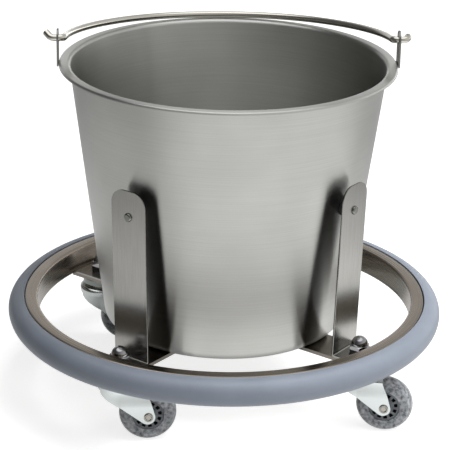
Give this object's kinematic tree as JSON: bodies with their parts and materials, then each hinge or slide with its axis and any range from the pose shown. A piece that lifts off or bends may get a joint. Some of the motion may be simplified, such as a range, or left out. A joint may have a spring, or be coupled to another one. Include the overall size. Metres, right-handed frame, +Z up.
{
  "type": "surgical kick bucket",
  "caption": "Low stainless waste pail with a flanged rim and wire bail, standing in a crossed-bar carriage with upright straps, a round bumper ring and swivel casters.",
  "frame": {"origin": "on the floor under the centre of the ring and the pail", "axes": "+Z up; the crossbars lie on the diagonals of X and Y; the front is -Y; the casters trail towards +X"},
  "size_m": [0.4134, 0.4134, 0.3537],
  "materials": {
    "carriage_stainless": "satin brushed along the strip",
    "pail_stainless": "satin brushed round the pail",
    "bail_wire": "drawn bright wire",
    "bumper_vinyl": "matte extruded vinyl",
    "pad_rubber": "matte",
    "bright_fastener": "bright plated",
    "zinc_plate": "bright zinc plated pressing",
    "plain_steel": "plain",
    "core_nylon": "moulded",
    "tread_polyurethane": "cloudy grey polyurethane"
  },
  "bodies": {
    "carriage": {"frame_ring": "carriage_stainless", "bumper": "bumper_vinyl", "crossbar_long": "carriage_stainless", "crossbar_left": "carriage_stainless", "crossbar_right": "carriage_stainless", "upright_fl": "carriage_stainless", "upright_fr": "carriage_stainless", "upright_br": "carriage_stainless", "upright_bl": "carriage_stainless", "upright_screws": "bright_fastener", "upright_pads": "pad_rubber", "stem_washers": "bright_fastener", "cap_nuts": "bright_fastener", "caster_stem_fl": "zinc_plate", "caster_stem_fr": "zinc_plate", "caster_stem_br": "zinc_plate", "caster_stem_bl": "zinc_plate"},
    "pail": {"bucket_shell": "pail_stainless", "ear_left": "pail_stainless", "ear_right": "pail_stainless"},
    "bail": {"bail_handle": "bail_wire"},
    "swivel_fl": {"fork_fl": "zinc_plate", "ball_race_fl": "plain_steel", "axle_fl": "plain_steel"},
    "wheel_fl": {"wheel_core_fl": "core_nylon", "tread_fl": "tread_polyurethane", "bush_fl": "plain_steel"},
    "swivel_fr": {"fork_fr": "zinc_plate", "ball_race_fr": "plain_steel", "axle_fr": "plain_steel"},
    "wheel_fr": {"wheel_core_fr": "core_nylon", "tread_fr": "tread_polyurethane", "bush_fr": "plain_steel"},
    "swivel_br": {"fork_br": "zinc_plate", "ball_race_br": "plain_steel", "axle_br": "plain_steel"},
    "wheel_br": {"wheel_core_br": "core_nylon", "tread_br": "tread_polyurethane", "bush_br": "plain_steel"},
    "swivel_bl": {"fork_bl": "zinc_plate", "ball_race_bl": "plain_steel", "axle_bl": "plain_steel"},
    "wheel_bl": {"wheel_core_bl": "core_nylon", "tread_bl": "tread_polyurethane", "bush_bl": "plain_steel"}
  },
  "joints": [
    {"name": "pail_lift", "type": "slide", "parent": "carriage", "child": "pail", "axis": [0, 0, 1], "range_m": [0, 0.26]},
    {"name": "bail_swing", "type": "hinge", "parent": "pail", "child": "bail", "pos_m": [0, 0, 0.345], "axis": [0.9953, -0.0967, 0], "range_deg": [0, 193.1]},
    {"name": "caster_swivel_fl", "type": "hinge", "parent": "carriage", "child": "swivel_fl", "pos_m": [-0.11031, -0.11031, 0.0605], "axis": [0, 0, 1], "continuous": true},
    {"name": "caster_swivel_fr", "type": "hinge", "parent": "carriage", "child": "swivel_fr", "pos_m": [0.11031, -0.11031, 0.0605], "axis": [0, 0, 1], "continuous": true},
    {"name": "caster_swivel_br", "type": "hinge", "parent": "carriage", "child": "swivel_br", "pos_m": [0.11031, 0.11031, 0.0605], "axis": [0, 0, 1], "continuous": true},
    {"name": "caster_swivel_bl", "type": "hinge", "parent": "carriage", "child": "swivel_bl", "pos_m": [-0.11031, 0.11031, 0.0605], "axis": [0, 0, 1], "continuous": true},
    {"name": "wheel_spin_fl", "type": "hinge", "parent": "swivel_fl", "child": "wheel_fl", "pos_m": [-0.08484, -0.11149, 0.0262], "axis": [0.0462, 0.9989, 0], "continuous": true},
    {"name": "wheel_spin_fr", "type": "hinge", "parent": "swivel_fr", "child": "wheel_fr", "pos_m": [0.13486, -0.11719, 0.0262], "axis": [0.2698, 0.9629, 0], "continuous": true},
    {"name": "wheel_spin_br", "type": "hinge", "parent": "swivel_br", "child": "wheel_br", "pos_m": [0.12228, 0.13282, 0.0262], "axis": [-0.8829, 0.4695, 0], "continuous": true},
    {"name": "wheel_spin_bl", "type": "hinge", "parent": "swivel_bl", "child": "wheel_bl", "pos_m": [-0.08506, 0.10676, 0.0262], "axis": [0.1392, 0.9903, 0], "continuous": true}
  ]
}
